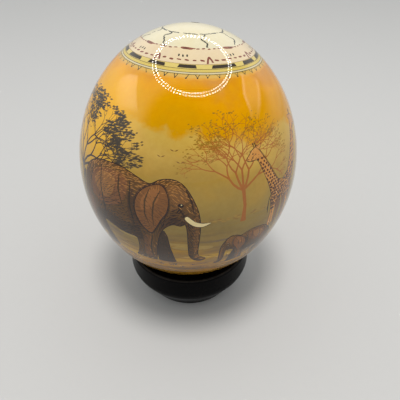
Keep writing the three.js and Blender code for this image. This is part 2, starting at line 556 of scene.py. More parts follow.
ELEPHANT_TONES = [
    ([(42, 51), (52, 52), (62, 49), (69, 43), (70, 34), (62, 31), (52, 33), (44, 40)], "#8f5d29", 0.42),
    ([(49, 48.5), (58, 49), (65, 43), (62, 37), (54, 37)], "#b27a3a", 0.38),
    ([(69, 28), (73, 30), (74, 20), (73, 8), (70, 5), (69, 15)], "#8f5d29", 0.4),
    ([(14.5, 50), (20, 52.5), (23, 47), (21, 39), (16.5, 40.5), (12.5, 45)], "#94612c", 0.42),
    ([(7.8, 38), (9.6, 32), (9.6, 22), (8.6, 12), (7.4, 14), (7.3, 26)], "#94612c", 0.4),
    ([(30, 20), (34, 21), (34.5, 12), (33.5, 3), (30.5, 3), (30.5, 12)], "#8f5d29", 0.35),
    ([(36, 16.5), (47, 17), (60, 18.5), (66, 13), (67, 23), (57, 27), (45, 26), (37, 25)], "#170e08", 0.5),
    ([(38.5, 47), (42, 43), (42.5, 31), (39, 24), (35.5, 27), (38.5, 36)], "#170e08", 0.45),
    ([(13, 31), (20, 30), (25, 27), (28, 22), (24, 33), (18, 35)], "#170e08", 0.45),
]
ELEPHANT_CREASES = [
    [(13, 50), (10.5, 44), (9.5, 38)], [(17, 41), (14.5, 37), (13.6, 34)], [(40, 50), (41.5, 38), (39.5, 26)],
    [(58, 52), (60, 40), (58.5, 28), (61, 20)], [(44, 20), (52, 22), (60, 21)], [(30, 22), (31, 12), (30, 4)],
    [(68, 24), (67.5, 14), (68, 4)], [(46, 52), (47.5, 44), (46, 36)], [(66, 48), (69, 40), (69, 32)],
]


def elephant(picture, inks=("#28180c", "#120b07", "#c48b47"), hide="#60401f", fine=1.0, tusk=True):
    """An elephant that faces left: far legs, body with its tones and creases, ear, tusk, eye and tail."""
    dark, deep, light = inks
    for leg in ELEPHANT_FAR_LEGS:
        outline = smooth(leg, 3)
        number = picture.fill(outline, "#3a281a", edge=deep)
        picture.engrave(outline, number, ("#20150d", "#120b06", "#6b4a2c"), 1.9 / fine, 3.2, 3.0, 90)
    outline = smooth(ELEPHANT)
    number = picture.fill(outline, hide, edge=deep, edge_width=0.4)
    for tone, colour, cover in ELEPHANT_TONES:
        picture.fill(smooth(tone, 3), colour, cover, number)
    picture.engrave(outline, number, inks, 1.08 / fine, 3.2, 8.0, 70, 0.66)
    for crease in ELEPHANT_CREASES:
        wave = np.linspace(0, 1, len(crease))
        picture.ribbon(crease, 0.25 + 0.75 * np.sin(math.pi * np.clip(wave, 0.08, 0.92)), deep, 0.8, number)
    for k in range(15):
        y = 9 + 2.1 * k
        middle = 9.2 - 0.25 * abs(k - 5) + (0.9 if k > 9 else 0)
        picture.stroke((middle - 2.6, y + 0.5), (middle + 2.8, y - 0.5), 0.34, deep, 0.85, number)
    picture.fill(grown(smooth(ELEPHANT_EAR), 1.0), deep, 0.55, number)
    ear = smooth(ELEPHANT_EAR)
    flap = picture.fill(ear, "#7d5229", edge=deep, within=number)
    picture.fill(smooth(ELEPHANT_EAR_LIT, 3), "#a06c33", 0.5, flap)
    picture.engrave(ear, flap, ("#3a2512", deep, light), 1.35 / fine, 3.4, 3.0, 10, 0.5)
    for fold in ([(25, 48.5), (28.5, 42), (29.5, 35), (29, 28)], [(30, 49), (33, 42), (33.4, 35), (31, 28)]):
        picture.ribbon(fold, [0.3, 0.9, 0.7, 0.2], deep, 0.7, flap)
    if tusk:
        picture.fill(smooth(ELEPHANT_TUSK, 3), "#e8d3a0", edge=deep, edge_width=0.25)
    turns = np.linspace(0, 2 * math.pi, 9)[:-1]
    picture.fill(np.column_stack([15.6 + 1.5 * np.cos(turns), 42 + 1.1 * np.sin(turns)]), deep, 1.0)
    picture.fill(np.column_stack([15.3 + 0.35 * np.cos(turns), 42.3 + 0.3 * np.sin(turns)]), "#e9d8a8", 1.0)
    tail = [(76, 42), (78.2, 36), (79.2, 29), (79.2, 23), (79.8, 18)]
    picture.ribbon(tail, [1.6, 1.3, 1.0, 1.6, 0.4], deep)
    for x in (29.5, 32.5, 35.5, 66.5, 69.5, 72.8):
        picture.stroke((x, 1.4), (x + 1.8, 0.3), 0.9, "#a88a5c", 0.8, number)


GIRAFFE = [
    (44, 58.5), (41, 61.3), (38.5, 63), (35, 64.5), (34.6, 62.8), (32, 57), (29, 50), (26, 43),
    (22.5, 37), (17, 34.5), (11, 32.5), (7, 30.5), (5.5, 29), (4.5, 26), (5.5, 21), (6, 14), (5.5, 8),
    (5.8, 3), (5.2, 0.3), (7.6, 0.3), (7.8, 4), (8, 9), (9.2, 14), (11, 19), (14, 21), (18, 21.5),
    (22, 22), (23.5, 18), (23.8, 12), (23.6, 6), (23.2, 0.3), (25.8, 0.3), (26, 6), (26.6, 13),
    (27.5, 20), (28.5, 25), (29.5, 29), (31, 35), (33, 42), (35.5, 50), (37, 55.5), (39.5, 56.5),
    (42, 56.3), (44.5, 57),
]
GIRAFFE_EAR = [(35.2, 63.6), (32.4, 65), (31.4, 64.2), (34, 62.4)]
GIRAFFE_FAR_LEGS = [
    [(11, 20), (12.5, 14), (11.5, 8), (12, 3), (11.6, 0.6), (13.6, 0.6), (13.8, 6), (14.5, 12), (15.5, 20)],
    [(20.5, 22), (20, 14), (19.2, 7), (18.6, 0.6), (20.8, 0.6), (21.6, 7), (22.6, 14), (24, 22)],
]


def giraffe(picture, coat="#c98d46", patch="#55301a", deep="#2a180d"):
    """A giraffe that faces right, with its patches set out in rows."""
    for leg in GIRAFFE_FAR_LEGS:
        picture.fill(smooth(leg, 3), "#7c532c", edge=deep, edge_width=0.2)
    outline = smooth(GIRAFFE, 3)
    number = picture.fill(outline, coat, edge=deep, edge_width=0.3)
    rng = picture.rng
    for row in range(26):
        for column in range(18):
            x = 2.6 * column + 1.3 * (row % 2) + rng.uniform(-0.4, 0.4)
            y = 15.5 + 2.25 * row + rng.uniform(-0.35, 0.35)
            if y > 57 or not inside(np.array([[x, y]]), grown(outline, 0.8))[0]:
                continue
            size = 1.18 if y < 38 else 0.9
            turns = np.arange(6) * math.pi / 3 + rng.uniform(0, 1)
            reach = size * rng.uniform(0.82, 1.15, 6)
            blot = np.column_stack([x + reach * np.cos(turns), y + 0.95 * reach * np.sin(turns)])
            picture.fill(blot, patch, 1.0, number)
    picture.engrave(outline, number, ("#4a2a14", deep, "#e3b877"), 1.8, 2.6, 3.0, 60, 0.7)
    mane = [(34.2, 63), (31.2, 56.6), (28.2, 49.6), (25.2, 42.6), (21.8, 37)]
    for (x0, y0), (x1, y1) in zip(mane, mane[1:]):
        for k in range(7):
            x, y = x0 + (x1 - x0) * k / 7, y0 + (y1 - y0) * k / 7
            picture.stroke((x + 0.4, y), (x - 0.9, y - 0.5), 0.7, "#6b3a1c")
    for x in (36.1, 37.6):
        picture.stroke((x, 63), (x - 0.7, 67), 1.0, deep, belly=0.85)
    picture.fill(smooth(GIRAFFE_EAR, 3), coat, edge=deep, edge_width=0.2)
    picture.stroke((38.7, 60.6), (40.2, 60.2), 0.9, deep)
    picture.stroke((42.9, 57.9), (44.3, 57.5), 0.5, deep)
    tail = [(5, 29), (3.2, 25), (2.8, 20), (3.2, 16)]
    picture.ribbon(tail, [0.6, 0.5, 0.9, 0.3], deep)


ZEBRA = [
    (1, 33), (3, 31), (6, 31.5), (9, 33.5), (12, 34), (14, 30), (15.5, 25), (17, 21), (18, 17), (18, 11),
    (17.5, 5), (17, 0.4), (20.5, 0.4), (20.8, 5), (21.8, 11), (23.5, 16.5), (28, 16), (34, 15.5),
    (40, 16.5), (43, 14), (44, 11), (43, 7), (43.5, 3), (43, 0.4), (46.3, 0.4), (46.6, 4), (47.5, 9),
    (50, 14), (51.5, 20), (52, 26), (50.5, 31), (46, 33.5), (38, 33), (30, 32), (24, 33.5), (20, 38),
    (16, 42.5), (12.5, 45.5), (11.5, 48.5), (10, 45), (7.5, 42.5), (4, 38), (1.5, 35),
]
ZEBRA_FAR_LEG = [(18, 18), (19.5, 10), (19.3, 4), (18.6, 0.6), (21.2, 0.6), (21.8, 5), (22.6, 11), (24, 17)]
ZEBRA_MUZZLE = [(0.9, 33), (3, 31), (4.4, 32), (3.2, 34.6), (1.8, 35)]


def zebra(picture, deep="#231a14", white="#d8c79c"):
    """A zebra that faces left, with its stripes in groups along body, neck, legs, rump and head."""
    for dx in (2.6, 26.6):
        leg = np.array(ZEBRA_FAR_LEG) + [dx - 2, 0]
        number = picture.fill(smooth(leg, 3), "#8c7c60", edge=deep, edge_width=0.2)
        for k in range(7):
            picture.stroke((dx + 15, 1.6 + 2 * k), (dx + 22, 2 + 2 * k), 1.0, deep, 1.0, number)
    outline = smooth(ZEBRA, 3)
    number = picture.fill(outline, white, edge=deep, edge_width=0.35)
    for k in range(13):
        x = 21 + 2.35 * k
        bow = 1.6 * math.sin(0.5 * k)
        stripe = [(x + bow, 36), (x + 0.8, 30), (x - bow * 0.4, 22), (x + 1.4, 14)]
        picture.ribbon(stripe, [1.5, 1.4, 1.05, 0.5], deep, 1.0, number)
    for k in range(8):
        x, y = 20.5 - 1.2 * k, 35.5 + 1.2 * k
        stripe = [(x + 3.4, y + 2.4), (x - 0.5, y - 2.5), (x - 3.0, y - 9)]
        picture.ribbon(stripe, [0.9, 1.2, 0.8], deep, 1.0, number)
    for k in range(7):
        for x0 in (16, 42):
            picture.stroke((x0, 2 + 2.2 * k), (x0 + 7, 2.5 + 2.3 * k), 1.05, deep, 1.0, number)
    for k in range(5):
        x = 48.5 - 1.5 * k
        stripe = [(53, 26 - 2.2 * k), (x, 24.5 - 1.8 * k), (x - 3.5, 20 - 1.2 * k)]
        picture.ribbon(stripe, [1.2, 1.1, 0.5], deep, 1.0, number)
    for k in range(4):
        start, end = (3.5 + 1.7 * k, 39.5 + 1.5 * k), (5.2 + 1.6 * k, 32.5 + 0.5 * k)
        picture.stroke(start, end, 0.75, deep, 1.0, number)
    picture.fill(smooth(ZEBRA_MUZZLE, 3), "#3a2b20", 1.0, number)
    picture.stroke((6.2, 38.4), (7.8, 38.8), 1.0, deep)
    for k in range(16):
        x, y = 12.3 + 0.62 * k, 46.6 - 0.78 * k
        picture.stroke((x - 0.3, y - 0.4), (x + 0.9, y + 1.5), 0.75, deep)
    picture.ribbon([(51.5, 30), (53.6, 25), (54.2, 19), (53.9, 14)], [0.7, 0.6, 1.6, 0.5], deep)


OSTRICH = [
    (3, 22), (1, 25), (0, 28), (2, 30.5), (6, 31), (8, 33), (13, 34.5), (19, 33.5), (23, 30.5),
    (25.5, 30), (27, 32), (27.8, 36), (28, 41), (28.3, 46), (28.8, 50), (30, 52.3), (31.8, 52.6),
    (33, 51.6), (36, 50.6), (33.2, 50), (31.2, 49.6), (30.4, 48), (30.2, 43), (30, 38), (29.6, 33),
    (28.6, 28), (26, 23.5), (22, 20.5), (17, 19), (11, 18.6), (6, 19.5),
]
OSTRICH_LEGS = [
    [
        (15, 20), (17.8, 20), (18.7, 14), (16.9, 10), (17.2, 4), (17.6, 1), (20.5, 0.2), (16, 0), (15.4, 4),
        (14.6, 10), (16, 14),
    ],
    [
        (10.5, 20), (13, 20), (13, 15), (10.6, 10), (9.6, 4), (9, 1), (11.5, 0.2), (7.6, 0), (7.7, 4),
        (8.4, 10), (10.8, 14.5),
    ],
]
OSTRICH_NECK = [
    (27.5, 33), (28, 41), (28.8, 50), (30, 52.8), (33.5, 52), (36.5, 50.5), (31, 49), (30.6, 40), (30, 33),
]


def ostrich(picture, deep="#17100b"):
    """An ostrich that faces right, with dark plumage and pale wing and tail plumes."""
    for leg in OSTRICH_LEGS:
        picture.fill(smooth(leg, 2), "#a5764a", edge=deep, edge_width=0.2)
    outline = smooth(OSTRICH, 3)
    number = picture.fill(outline, "#3b2a1d", edge=deep, edge_width=0.3)
    picture.fill(smooth(OSTRICH_NECK, 3), "#b98a5c", 1.0, number)
    rng = picture.rng
    for k in range(150):
        x, y = rng.uniform(1, 25), rng.uniform(19, 34)
        picture.stroke((x + 1.4, y + 0.4), (x - 1.8, y - 1.0), 0.5, deep if k % 3 else "#6b4e34", 1.0, number)
    for k in range(26):
        x, y = rng.uniform(-0.6, 4.5), rng.uniform(21, 29)
        picture.stroke((x + 2.6, y + 1.2), (x - 1.6, y - 1.4), 0.7, "#dcc79b")
    for k in range(14):
        x = 7 + 0.95 * k
        picture.stroke((x + 1, 24.2 + 0.12 * k), (x - 1.7, 22 + 0.1 * k), 0.7, "#d9c294", 1.0, number)
    picture.stroke((30.6, 51.4), (31.6, 51.5), 0.7, deep)


ANTELOPE = [
    (0, 15.5), (2.2, 16.2), (3.2, 17.3), (4.4, 17.6), (5.2, 16.4), (6.5, 14), (8.5, 12.6), (13, 12.4),
    (17, 12.7), (19.5, 12.2), (20.6, 10.5), (20.8, 8), (20.4, 5), (20.6, 0.2), (19.6, 0.2), (19.2, 4.6),
    (18.4, 7.2), (15, 7.4), (10.5, 7.6), (8.6, 6.8), (8.3, 3.6), (8.4, 0.2), (7.4, 0.2), (7.2, 4),
    (6.6, 8), (5, 11), (3.6, 13.8), (1.5, 14.6),
]


def antelope(picture, coat="#8c5a2c", deep="#3f2716"):
    """A small antelope that faces left, with two bent horns."""
    picture.ribbon([(17.2, 8), (16.8, 4), (16.9, 0.3)], [1.2, 0.9, 0.7], deep)
    picture.ribbon([(9.4, 8), (10, 4), (10, 0.3)], [1.2, 0.9, 0.7], deep)
    outline = smooth(ANTELOPE, 2)
    number = picture.fill(outline, coat, edge=deep, edge_width=0.25)
    picture.engrave(outline, number, (deep, "#2a190e", "#cc9a5a"), 1.5, 2.0, 2.5, 30, 0.7)
    for dx in (0, 0.9):
        horn = [(3.8 + dx, 17.2), (5.2 + dx, 19.4), (4.6 + dx, 21.4), (3.8 + dx, 23)]
        picture.ribbon(horn, [0.6, 0.5, 0.4, 0.15], deep)


def grow(picture, place, angle, length, width, depth, colour, spread=24, reach=0.78, droop=0.0, tips=None):
    """A branch that forks into smaller ones."""
    rng = picture.rng
    heading = angle * DEGREE
    bend = rng.uniform(-0.28, 0.28)
    points = [np.asarray(place, float)]
    for k in range(3):
        step = heading + bend * k
        points.append(points[-1] + np.array([math.cos(step), math.sin(step)]) * length / 3)
    picture.ribbon(points, width * np.linspace(1.0, 0.7, 4), colour)
    if depth == 0:
        if tips is not None:
            tips.append(points[-1])
        return
    turns = [-spread, spread] if rng.uniform() < 0.6 else [-1.25 * spread, 0.1 * spread, 1.2 * spread]
    for turn in turns:
        out = angle + bend / DEGREE * 2 + turn * rng.uniform(0.7, 1.35)
        out += (0 if out < 90 else 180) * droop - out * droop
        part = length * reach * rng.uniform(0.8, 1.15)
        grow(picture, points[-1], out, part, width * 0.66, depth - 1, colour, spread, reach, droop, tips)


def acacia(picture, height=38.0, colour="#a2622c", leaf="#94702c", leaves=420, size=0.55):
    """A flat-topped thorn tree."""
    tips = []
    trunk = 0.42 * height
    picture.ribbon([(0, -0.5), (0.5, trunk * 0.5), (-0.4, trunk)], [2.6, 1.7, 1.9], colour)
    for x in (-1.6, 1.7):
        picture.stroke((x, -0.6), (0.1, 4), 1.1, colour)
    for angle in (150, 118, 92, 63, 34):
        grow(picture, (-0.4, trunk - 0.6), angle, height * 0.235, 1.3, 5, colour, 23, 0.76, 0.13, tips)
    rng = picture.rng
    for k in range(leaves):
        x, y = tips[rng.randint(len(tips))]
        x, y = x + rng.normal(0, 1.3), y + abs(rng.normal(0, 0.8)) - 0.2
        half = size * rng.uniform(0.55, 1.6)
        picture.stroke((x - half, y - 0.2), (x + half, y + 0.3), size, leaf, 0.85)


BAOBAB_TRUNK = [
    (-10, -1), (-7.4, 2), (-6.8, 9), (-7.4, 17), (-8.6, 24), (-5, 28), (0, 26.5), (5, 28.5), (8.4, 24.5),
    (7.2, 16), (6.8, 8), (7.6, 2), (10.4, -1), (4, -0.4), (-3, -0.6),
]
# Where each bough starts, its angle and its width
BAOBAB_BOUGHS = [
    (-7.2, 23, 142, 5), (-3.6, 26, 112, 4.2), (0.8, 26, 88, 3.8), (4.4, 26, 66, 4.2), (7, 23, 38, 5),
]


def baobab(picture, bark="#5c3d24", deep="#24170d", light="#a87846"):
    """A thick, bare tree. Its boughs are drawn twice, dark and then narrower in the bark's colour."""
    trunk = smooth(BAOBAB_TRUNK, 3)
    for colour, part in ((deep, 1.0), (bark, 0.62)):
        picture.rng = np.random.RandomState(77)
        for x, y, angle, width in BAOBAB_BOUGHS:
            grow(picture, (x, y), angle, 9.5, width * part, 5, colour, 26, 0.7, 0.05)
    number = picture.fill(trunk, bark, edge=deep, edge_width=0.4)
    picture.engrave(trunk, number, ("#33210f", deep, light), 1.15, 4.4, 5.0, 88, 0.9)


def tuft(picture, x, y, size, count, colour):
    """Blades of grass that spread out from one place."""
    rng = picture.rng
    for _ in range(count):
        foot = x + rng.uniform(-0.5, 0.5) * size
        tip = foot + rng.uniform(-0.55, 0.55) * size
        start = (foot, y + rng.uniform(-0.3, 0.3))
        end = (tip, y + size * rng.uniform(0.5, 1.25))
        picture.stroke(start, end, 0.42, colour, 0.95, belly=0.3)


def wash(picture, x, y, width, height, colour, cover):
    """A flat, ragged patch of colour with streaky ends."""
    rng = picture.rng
    upper, lower = [], []
    for part in np.linspace(-1, 1, 15):
        across = x + part * width / 2
        rise = height / 2 * math.sqrt(max(0.0, 1 - part * part)) ** 0.8
        upper.append((across + rng.uniform(-0.5, 0.5), y + rise + rng.uniform(-0.25, 0.25)))
        lower.append((across + rng.uniform(-0.5, 0.5), y - rise + rng.uniform(-0.25, 0.25)))
    return picture.fill(np.array(upper + lower[-2:0:-1]), colour, cover)


# Each wash of the ground: how far up it is, its width and its height as ranges, its colours and its cover
GROUND_WASHES = [
    ((-2, 4), (12, 26), (1.2, 3.0), ["#8e7a44"], 0.35),
    ((-14, -8), (10, 22), (1.5, 3.5), ["#7b6a58", "#b39a58", "#6c5a48"], 0.5),
    ((-26, -20), (12, 26), (2, 5), ["#6a5742", "#8a6f3c", "#c19a2c"], 0.55),
    ((-42, -31), (14, 30), (2, 5), ["#7a561c", "#a57810", "#5d482a"], 0.5),
    ((-66, -48), (14, 30), (2, 6), ["#6d4f16"], 0.5),
]
GROUND_STREAKS = ["#4e3b2c", "#5f4a3a", "#d0b06a"]
GRASSES = ["#4a3626", "#6b4a26", "#3a2c22"]
FAR_BUSHES = ["#9a7a38", "#a88642", "#8b6a36"]

# The birds' longitude and rise, and the antelopes' longitude, rise, scale and whether they face right
BIRDS = [(-12, 36), (-6, 39), (-3, 34), (112, 40), (118, 43), (205, 38), (212, 41), (300, 36)]
ANTELOPES = [
    (74, -2, 0.55, False), (82, -4, 0.6, True), (140, -2, 0.6, False), (206, -3, 0.6, False),
    (262, -2, 0.55, True), (270, -5, 0.6, False),
]


def ground(pattern):
    """Washes and streaks round the whole egg."""
    for k in range(40):
        picture = Picture(pattern, Sheet(9 * k, 0), 300 + k)
        rng = picture.rng
        for rises, widths, heights, colours, cover in GROUND_WASHES:
            x, y = rng.uniform(-5, 5), rng.uniform(*rises)
            width, height = rng.uniform(*widths), rng.uniform(*heights)
            colour = colours[0] if len(colours) == 1 else rng.choice(colours)
            wash(picture, x, y, width, height, colour, cover)
        for _ in range(10):
            x, y = rng.uniform(-5, 5), rng.uniform(-46, -16)
            half = rng.uniform(1.5, 6)
            end = (x + half, y + rng.uniform(-0.5, 0.5))
            width = rng.uniform(0.3, 0.7)
            picture.stroke((x - half, y), end, width, rng.choice(GROUND_STREAKS), 0.8)


def foreground(pattern):
    """Grass in front of the animals."""
    for k in range(60):
        picture = Picture(pattern, Sheet(6 * k, 0), 700 + k)
        rng = picture.rng
        x, y = rng.uniform(-3, 3), rng.uniform(-40, -24)
        tuft(picture, x, y, rng.uniform(2.0, 4.5), rng.randint(5, 10), rng.choice(GRASSES))


def distance(pattern):
    """Faint far bush along the horizon, and birds."""
    for k in range(72):
        picture = Picture(pattern, Sheet(5 * k, 5), 500 + k)
        rng = picture.rng
        for _ in range(6):
            x, y = rng.uniform(-3, 3), rng.uniform(-1.2, 1.0)
            start = (x - rng.uniform(0.8, 2.4), y)
            end = (x + rng.uniform(0.8, 2.4), y + rng.uniform(-0.3, 0.5))
            width = rng.uniform(0.4, 1.1)
            picture.stroke(start, end, width, rng.choice(FAR_BUSHES), 0.8)
    for longitude, rise in BIRDS:
        picture = Picture(pattern, Sheet(longitude, rise), 40)
        for tip in ((-1.9, 0.8), (1.9, 0.9)):
            picture.stroke(tip, (0, 0), 0.5, "#6a4524", 0.9)


def frieze(pattern):
    """The whole picture round the egg, from the distance to the foreground."""
    def place(longitude, rise, scale=1.0, flip=False, seed=1):
        return Picture(pattern, Sheet(longitude, rise, scale, flip), seed)

    distance(pattern)
    ground(pattern)
    acacia(place(26, 2, 1.0, seed=21), 42)
    acacia(place(-60, -6, 1.12, seed=22), 46, "#43342a", "#383026", 1300, 0.8)
    acacia(place(102, 2, 0.95, seed=23), 42)
    acacia(place(232, 3, 1.0, seed=24), 40)
    baobab(place(172, -6, 1.05, seed=25))
    for longitude, rise, scale, flip in ANTELOPES:
        antelope(place(longitude, rise, scale, flip, seed=longitude))
    giraffe(place(38, -14, 0.86, seed=31))
    giraffe(place(62, -10, 0.74, flip=True, seed=32))
    elephant(place(12, -27, 0.98, flip=True, seed=33))
    elephant(place(14, -31, 0.44, seed=34), fine=0.7, tusk=False)
    zebra(place(112, -24, 0.85, seed=35))
    zebra(place(136, -18, 0.72, seed=36))
    ostrich(place(196, -22, 0.8, seed=37))
    ostrich(place(214, -18, 0.72, flip=True, seed=38))
    giraffe(place(246, -22, 0.9, seed=39))
    foreground(pattern)



# ---------------------------------------------------------------- the egg's mesh

def placed(name, data):
    """A new object in the scene, with its mesh, camera or lamp."""
    made = bpy.data.objects.new(name, data)
    bpy.context.collection.objects.link(made)
    return made


def hole_outline(count=28):
    """The edge of the blow-hole on the peel."""
    arc = np.interp(HOLE_FROM_AXIS, PROFILE_RADIUS[UPPER], PROFILE_ARC[UPPER])
    x, y = arc * math.sin(HOLE_LONGITUDE), -arc * math.cos(HOLE_LONGITUDE)
    turns = np.linspace(0, 2 * math.pi, count, endpoint=False)
    return np.column_stack([x + HOLE_RADIUS * np.cos(turns), y + HOLE_RADIUS * np.sin(turns)])


def grid_points():
    """Points spread evenly over the peel, in rings."""
    rings = int(round(SKIN_END / GRID_STEP))
    points = [(0.0, 0.0)]
    for i in range(1, rings + 1):
        arc = SKIN_END * i / rings
        sectors = min(GRID_SECTORS, 12 * i)
        for k in range(sectors):
            turn = 2 * math.pi * (k + 0.5 * (i % 2)) / sectors
            points.append((arc * math.cos(turn), arc * math.sin(turn)))
    return points


def back_seam():
    """Points down the middle of the back, where the egg's map is cut open."""
    rings = int(round(SKIN_END / GRID_STEP))
    return [(0.0, SKIN_END * i / rings) for i in range(rings + 1)]


# How finely inks are told apart, and lengths in millimetres
INK_STEPS = 96
STRAIGHT = 0.018
MERGED = 0.01
THINNEST = 0.004
LONGEST_EDGE = 4.0
CROWDED = 1.0


def cut_along_outlines(pattern):
    """The peel's triangles with an ink each, cut along every outline. The hole's ink is None."""
    hole = pattern.add(hole_outline(), "#6a6650")
    points = [Vector(p) for p in grid_points()]
    faces = []
    for shape in pattern.shapes:
        start = len(points)
        points.extend(Vector(p) for p in shape["outline"])
        faces.append(list(range(start, len(points))))
    flat, _, triangles, _, _, owners = delaunay_2d_cdt(points, [], faces, 0, MERGED / 50, True)
    inks = []
    for owner in owners:
        rounded = tuple(round(part * INK_STEPS) / INK_STEPS for part in pattern.ink_of(owner))
        inks.append(None if hole in owner else rounded)
    return np.array([list(p) for p in flat]), triangles, inks


def seen_edges(triangles, inks):
    """The edges that have different inks on their two sides."""
    sides = {}
    for number, (a, b, c) in enumerate(triangles):
        for edge in ((a, b), (b, c), (c, a)):
            sides.setdefault((min(edge), max(edge)), []).append(number)
    return [edge for edge, found in sides.items() if len(found) == 2 and inks[found[0]] != inks[found[1]]]


def straightened(flat, edges):
    """The edges without the points that lie on a straight line between their two neighbours."""
    neighbours = {}
    for a, b in edges:
        neighbours.setdefault(a, []).append(b)
        neighbours.setdefault(b, []).append(a)
    for k in sorted(neighbours):
        if len(neighbours[k]) != 2:
            continue
        a, b = neighbours[k]
        run = flat[b] - flat[a]
        length = math.hypot(*run)
        if a == b or b in neighbours[a] or length > LONGEST_EDGE or length < 1e-6:
            continue
        offset = flat[k] - flat[a]
        if abs(run[0] * offset[1] - run[1] * offset[0]) / length < STRAIGHT:
            neighbours[a][neighbours[a].index(k)] = b
            neighbours[b][neighbours[b].index(k)] = a
            del neighbours[k]
    return sorted({(min(a, b), max(a, b)) for a in neighbours for b in neighbours[a]})


def cut_where_seen(flat, triangles, inks):
    """The same patches of ink in fewer triangles, cut open along the seam."""
    edges = straightened(flat, seen_edges(triangles, inks))
    used = sorted({k for edge in edges for k in edge})
    place_of = {k: i for i, k in enumerate(used)}
    points = [Vector(flat[k]) for k in used]
    edges = [(place_of[a], place_of[b]) for a, b in edges]
    tree = KDTree(len(points))
    for i, point in enumerate(points):
        tree.insert((*point, 0), i)
    tree.balance()
    for x, y in grid_points():
        on_rim = math.hypot(x, y) > SKIN_END - 1e-6
        if on_rim or tree.find((x, y, 0))[2] > CROWDED:
            points.append(Vector((x, y)))
    seam_start = len(points)
    points.extend(Vector(p) for p in back_seam())
    edges += [(i, i + 1) for i in range(seam_start, len(points) - 1)]
    fewer, _, new_triangles, _, _, _ = delaunay_2d_cdt(points, edges, [], 0, MERGED, False)
    fewer = np.array([list(p) for p in fewer])
    finder = BVHTree.FromPolygons([(x, y, 0) for x, y in flat], triangles)
    new_inks = []
    for corners in new_triangles:
        x, y = fewer[list(corners)].mean(0)
        found = finder.find_nearest((x, y, 0))[2]
        new_inks.append(inks[found])
    return fewer, new_triangles, new_inks


def build_egg(pattern):
    """The egg's closed mesh: the peel is cut along the prints' outlines and rolled back on to the egg."""
    flat, triangles, inks = cut_where_seen(*cut_along_outlines(pattern))
    places, normals = on_egg(flat)
    bm = bmesh.new()
    vertices = [bm.verts.new(p * MM) for p in places]
    normal_of = {vertex: tuple(normal) for vertex, normal in zip(vertices, normals)}
    ink_layer = bm.loops.layers.float_color.new("ink")
    for corners, ink in zip(triangles, inks):
        if ink is None:
            continue
        face = bm.faces.new([vertices[k] for k in corners])
        for loop in face.loops:
            loop[ink_layer] = ink
    bmesh.ops.dissolve_degenerate(bm, edges=bm.edges[:], dist=THINNEST * MM)
    loose = [v for v in bm.verts if not v.link_faces]
    bmesh.ops.delete(bm, geom=loose, context="VERTS")
    close_hole(bm)
    close_lower_end(bm, normal_of)
    bm.verts.index_update()
    corner_normals = []
    for face in bm.faces:
        face.smooth = True
        for loop in face.loops:
            in_hole = face.material_index == 1 or loop.vert not in normal_of
            corner_normals.append(tuple(face.normal) if in_hole else normal_of[loop.vert])
    mesh = bpy.data.meshes.new("egg_shell")
    bm.to_mesh(mesh)
    bm.free()
    mesh.normals_split_custom_set(corner_normals)
    lay_map(mesh)
    return placed("egg_shell", mesh)


def lay_map(mesh):
    """A map with the longitude across and the way down the egg's side, and each point's sky drift."""
    places = np.array([v.co for v in mesh.vertices]) / MM
    local = (places - EGG_CENTRE) @ LEAN_ROWS
    longitude = np.arctan2(local[:, 0], -local[:, 1])
    across = longitude / (2 * math.pi) + 0.5
    up = np.interp(local[:, 2], PROFILE_HEIGHT[::-1], 1 - PROFILE_ARC[::-1] / PROFILE_ARC[-1])
    off_axis = np.hypot(local[:, 0], local[:, 1])
    layer = mesh.uv_layers.new(name="OFBake")
    places_on_map = np.empty((len(mesh.loops), 2))
    for polygon in mesh.polygons:
        corners = list(polygon.vertices)
        sides = [k for k in corners if off_axis[k] > 0.01]
        middle = float(np.mean([local[k, 0] for k in sides]))
        for loop, k in zip(polygon.loop_indices, corners):
            u = across[k]
            if off_axis[k] <= 0.01:
                u = float(np.mean([across[n] for n in sides]))
            elif u < 0.02 and middle > 0:
                u += 1
            elif u > 0.98 and middle < 0:
                u -= 1
            places_on_map[loop] = (min(max(u, 0.0), 1.0), up[k])
    layer.uv.foreach_set("vector", places_on_map.astype(np.float32).ravel())
    drift = mesh.attributes.new("drift", "FLOAT", "POINT")
    bank = 5.0 * np.sin(2 * longitude + 2.97) + 3.0 * np.sin(3 * longitude + 0.7)
    bank += 1.6 * np.sin(7 * longitude + 2.0)
    drift.data.foreach_set("value", (-bank * MM).astype(np.float32))


def open_edges(bm):
    return [edge for edge in bm.edges if edge.is_boundary]


def close_hole(bm):
    """Gives the hole its wall and its floor."""
    rim = [edge for edge in open_edges(bm) if edge.verts[0].co.z > EGG_CENTRE_HEIGHT * MM]
    extruded = bmesh.ops.extrude_edge_only(bm, edges=rim)["geom"]
    new_verts = [g for g in extruded if isinstance(g, bmesh.types.BMVert)]
    middle = sum((v.co for v in new_verts), Vector()) / len(new_verts)
    inward = (Vector(EGG_CENTRE * MM) - middle).normalized()
    for vertex in new_verts:
        vertex.co += inward * HOLE_DEPTH * MM
    floor_edges = [e for e in open_edges(bm) if e.verts[0].co.z > EGG_CENTRE_HEIGHT * MM]
    filled = bmesh.ops.triangle_fill(bm, edges=floor_edges, use_beauty=True)["geom"]
    walls = [g for g in extruded if isinstance(g, bmesh.types.BMFace)]
    floor = [g for g in filled if isinstance(g, bmesh.types.BMFace)]
    for face in walls + floor:
        face.material_index = 1
    bmesh.ops.recalc_face_normals(bm, faces=bm.faces[:])


def close_lower_end(bm, normal_of):
    """Joins the rim round the lower end to a point at the end itself."""
    places, normals = on_egg(np.array([[0.0, PROFILE_ARC[-1]]]))
    end = bm.verts.new(places[0] * MM)
    normal_of[end] = tuple(normals[0])
    for edge in open_edges(bm):
        bm.faces.new([*edge.verts, end])
    bmesh.ops.recalc_face_normals(bm, faces=bm.faces[:])


# ---------------------------------------------------------------- the stand's mesh

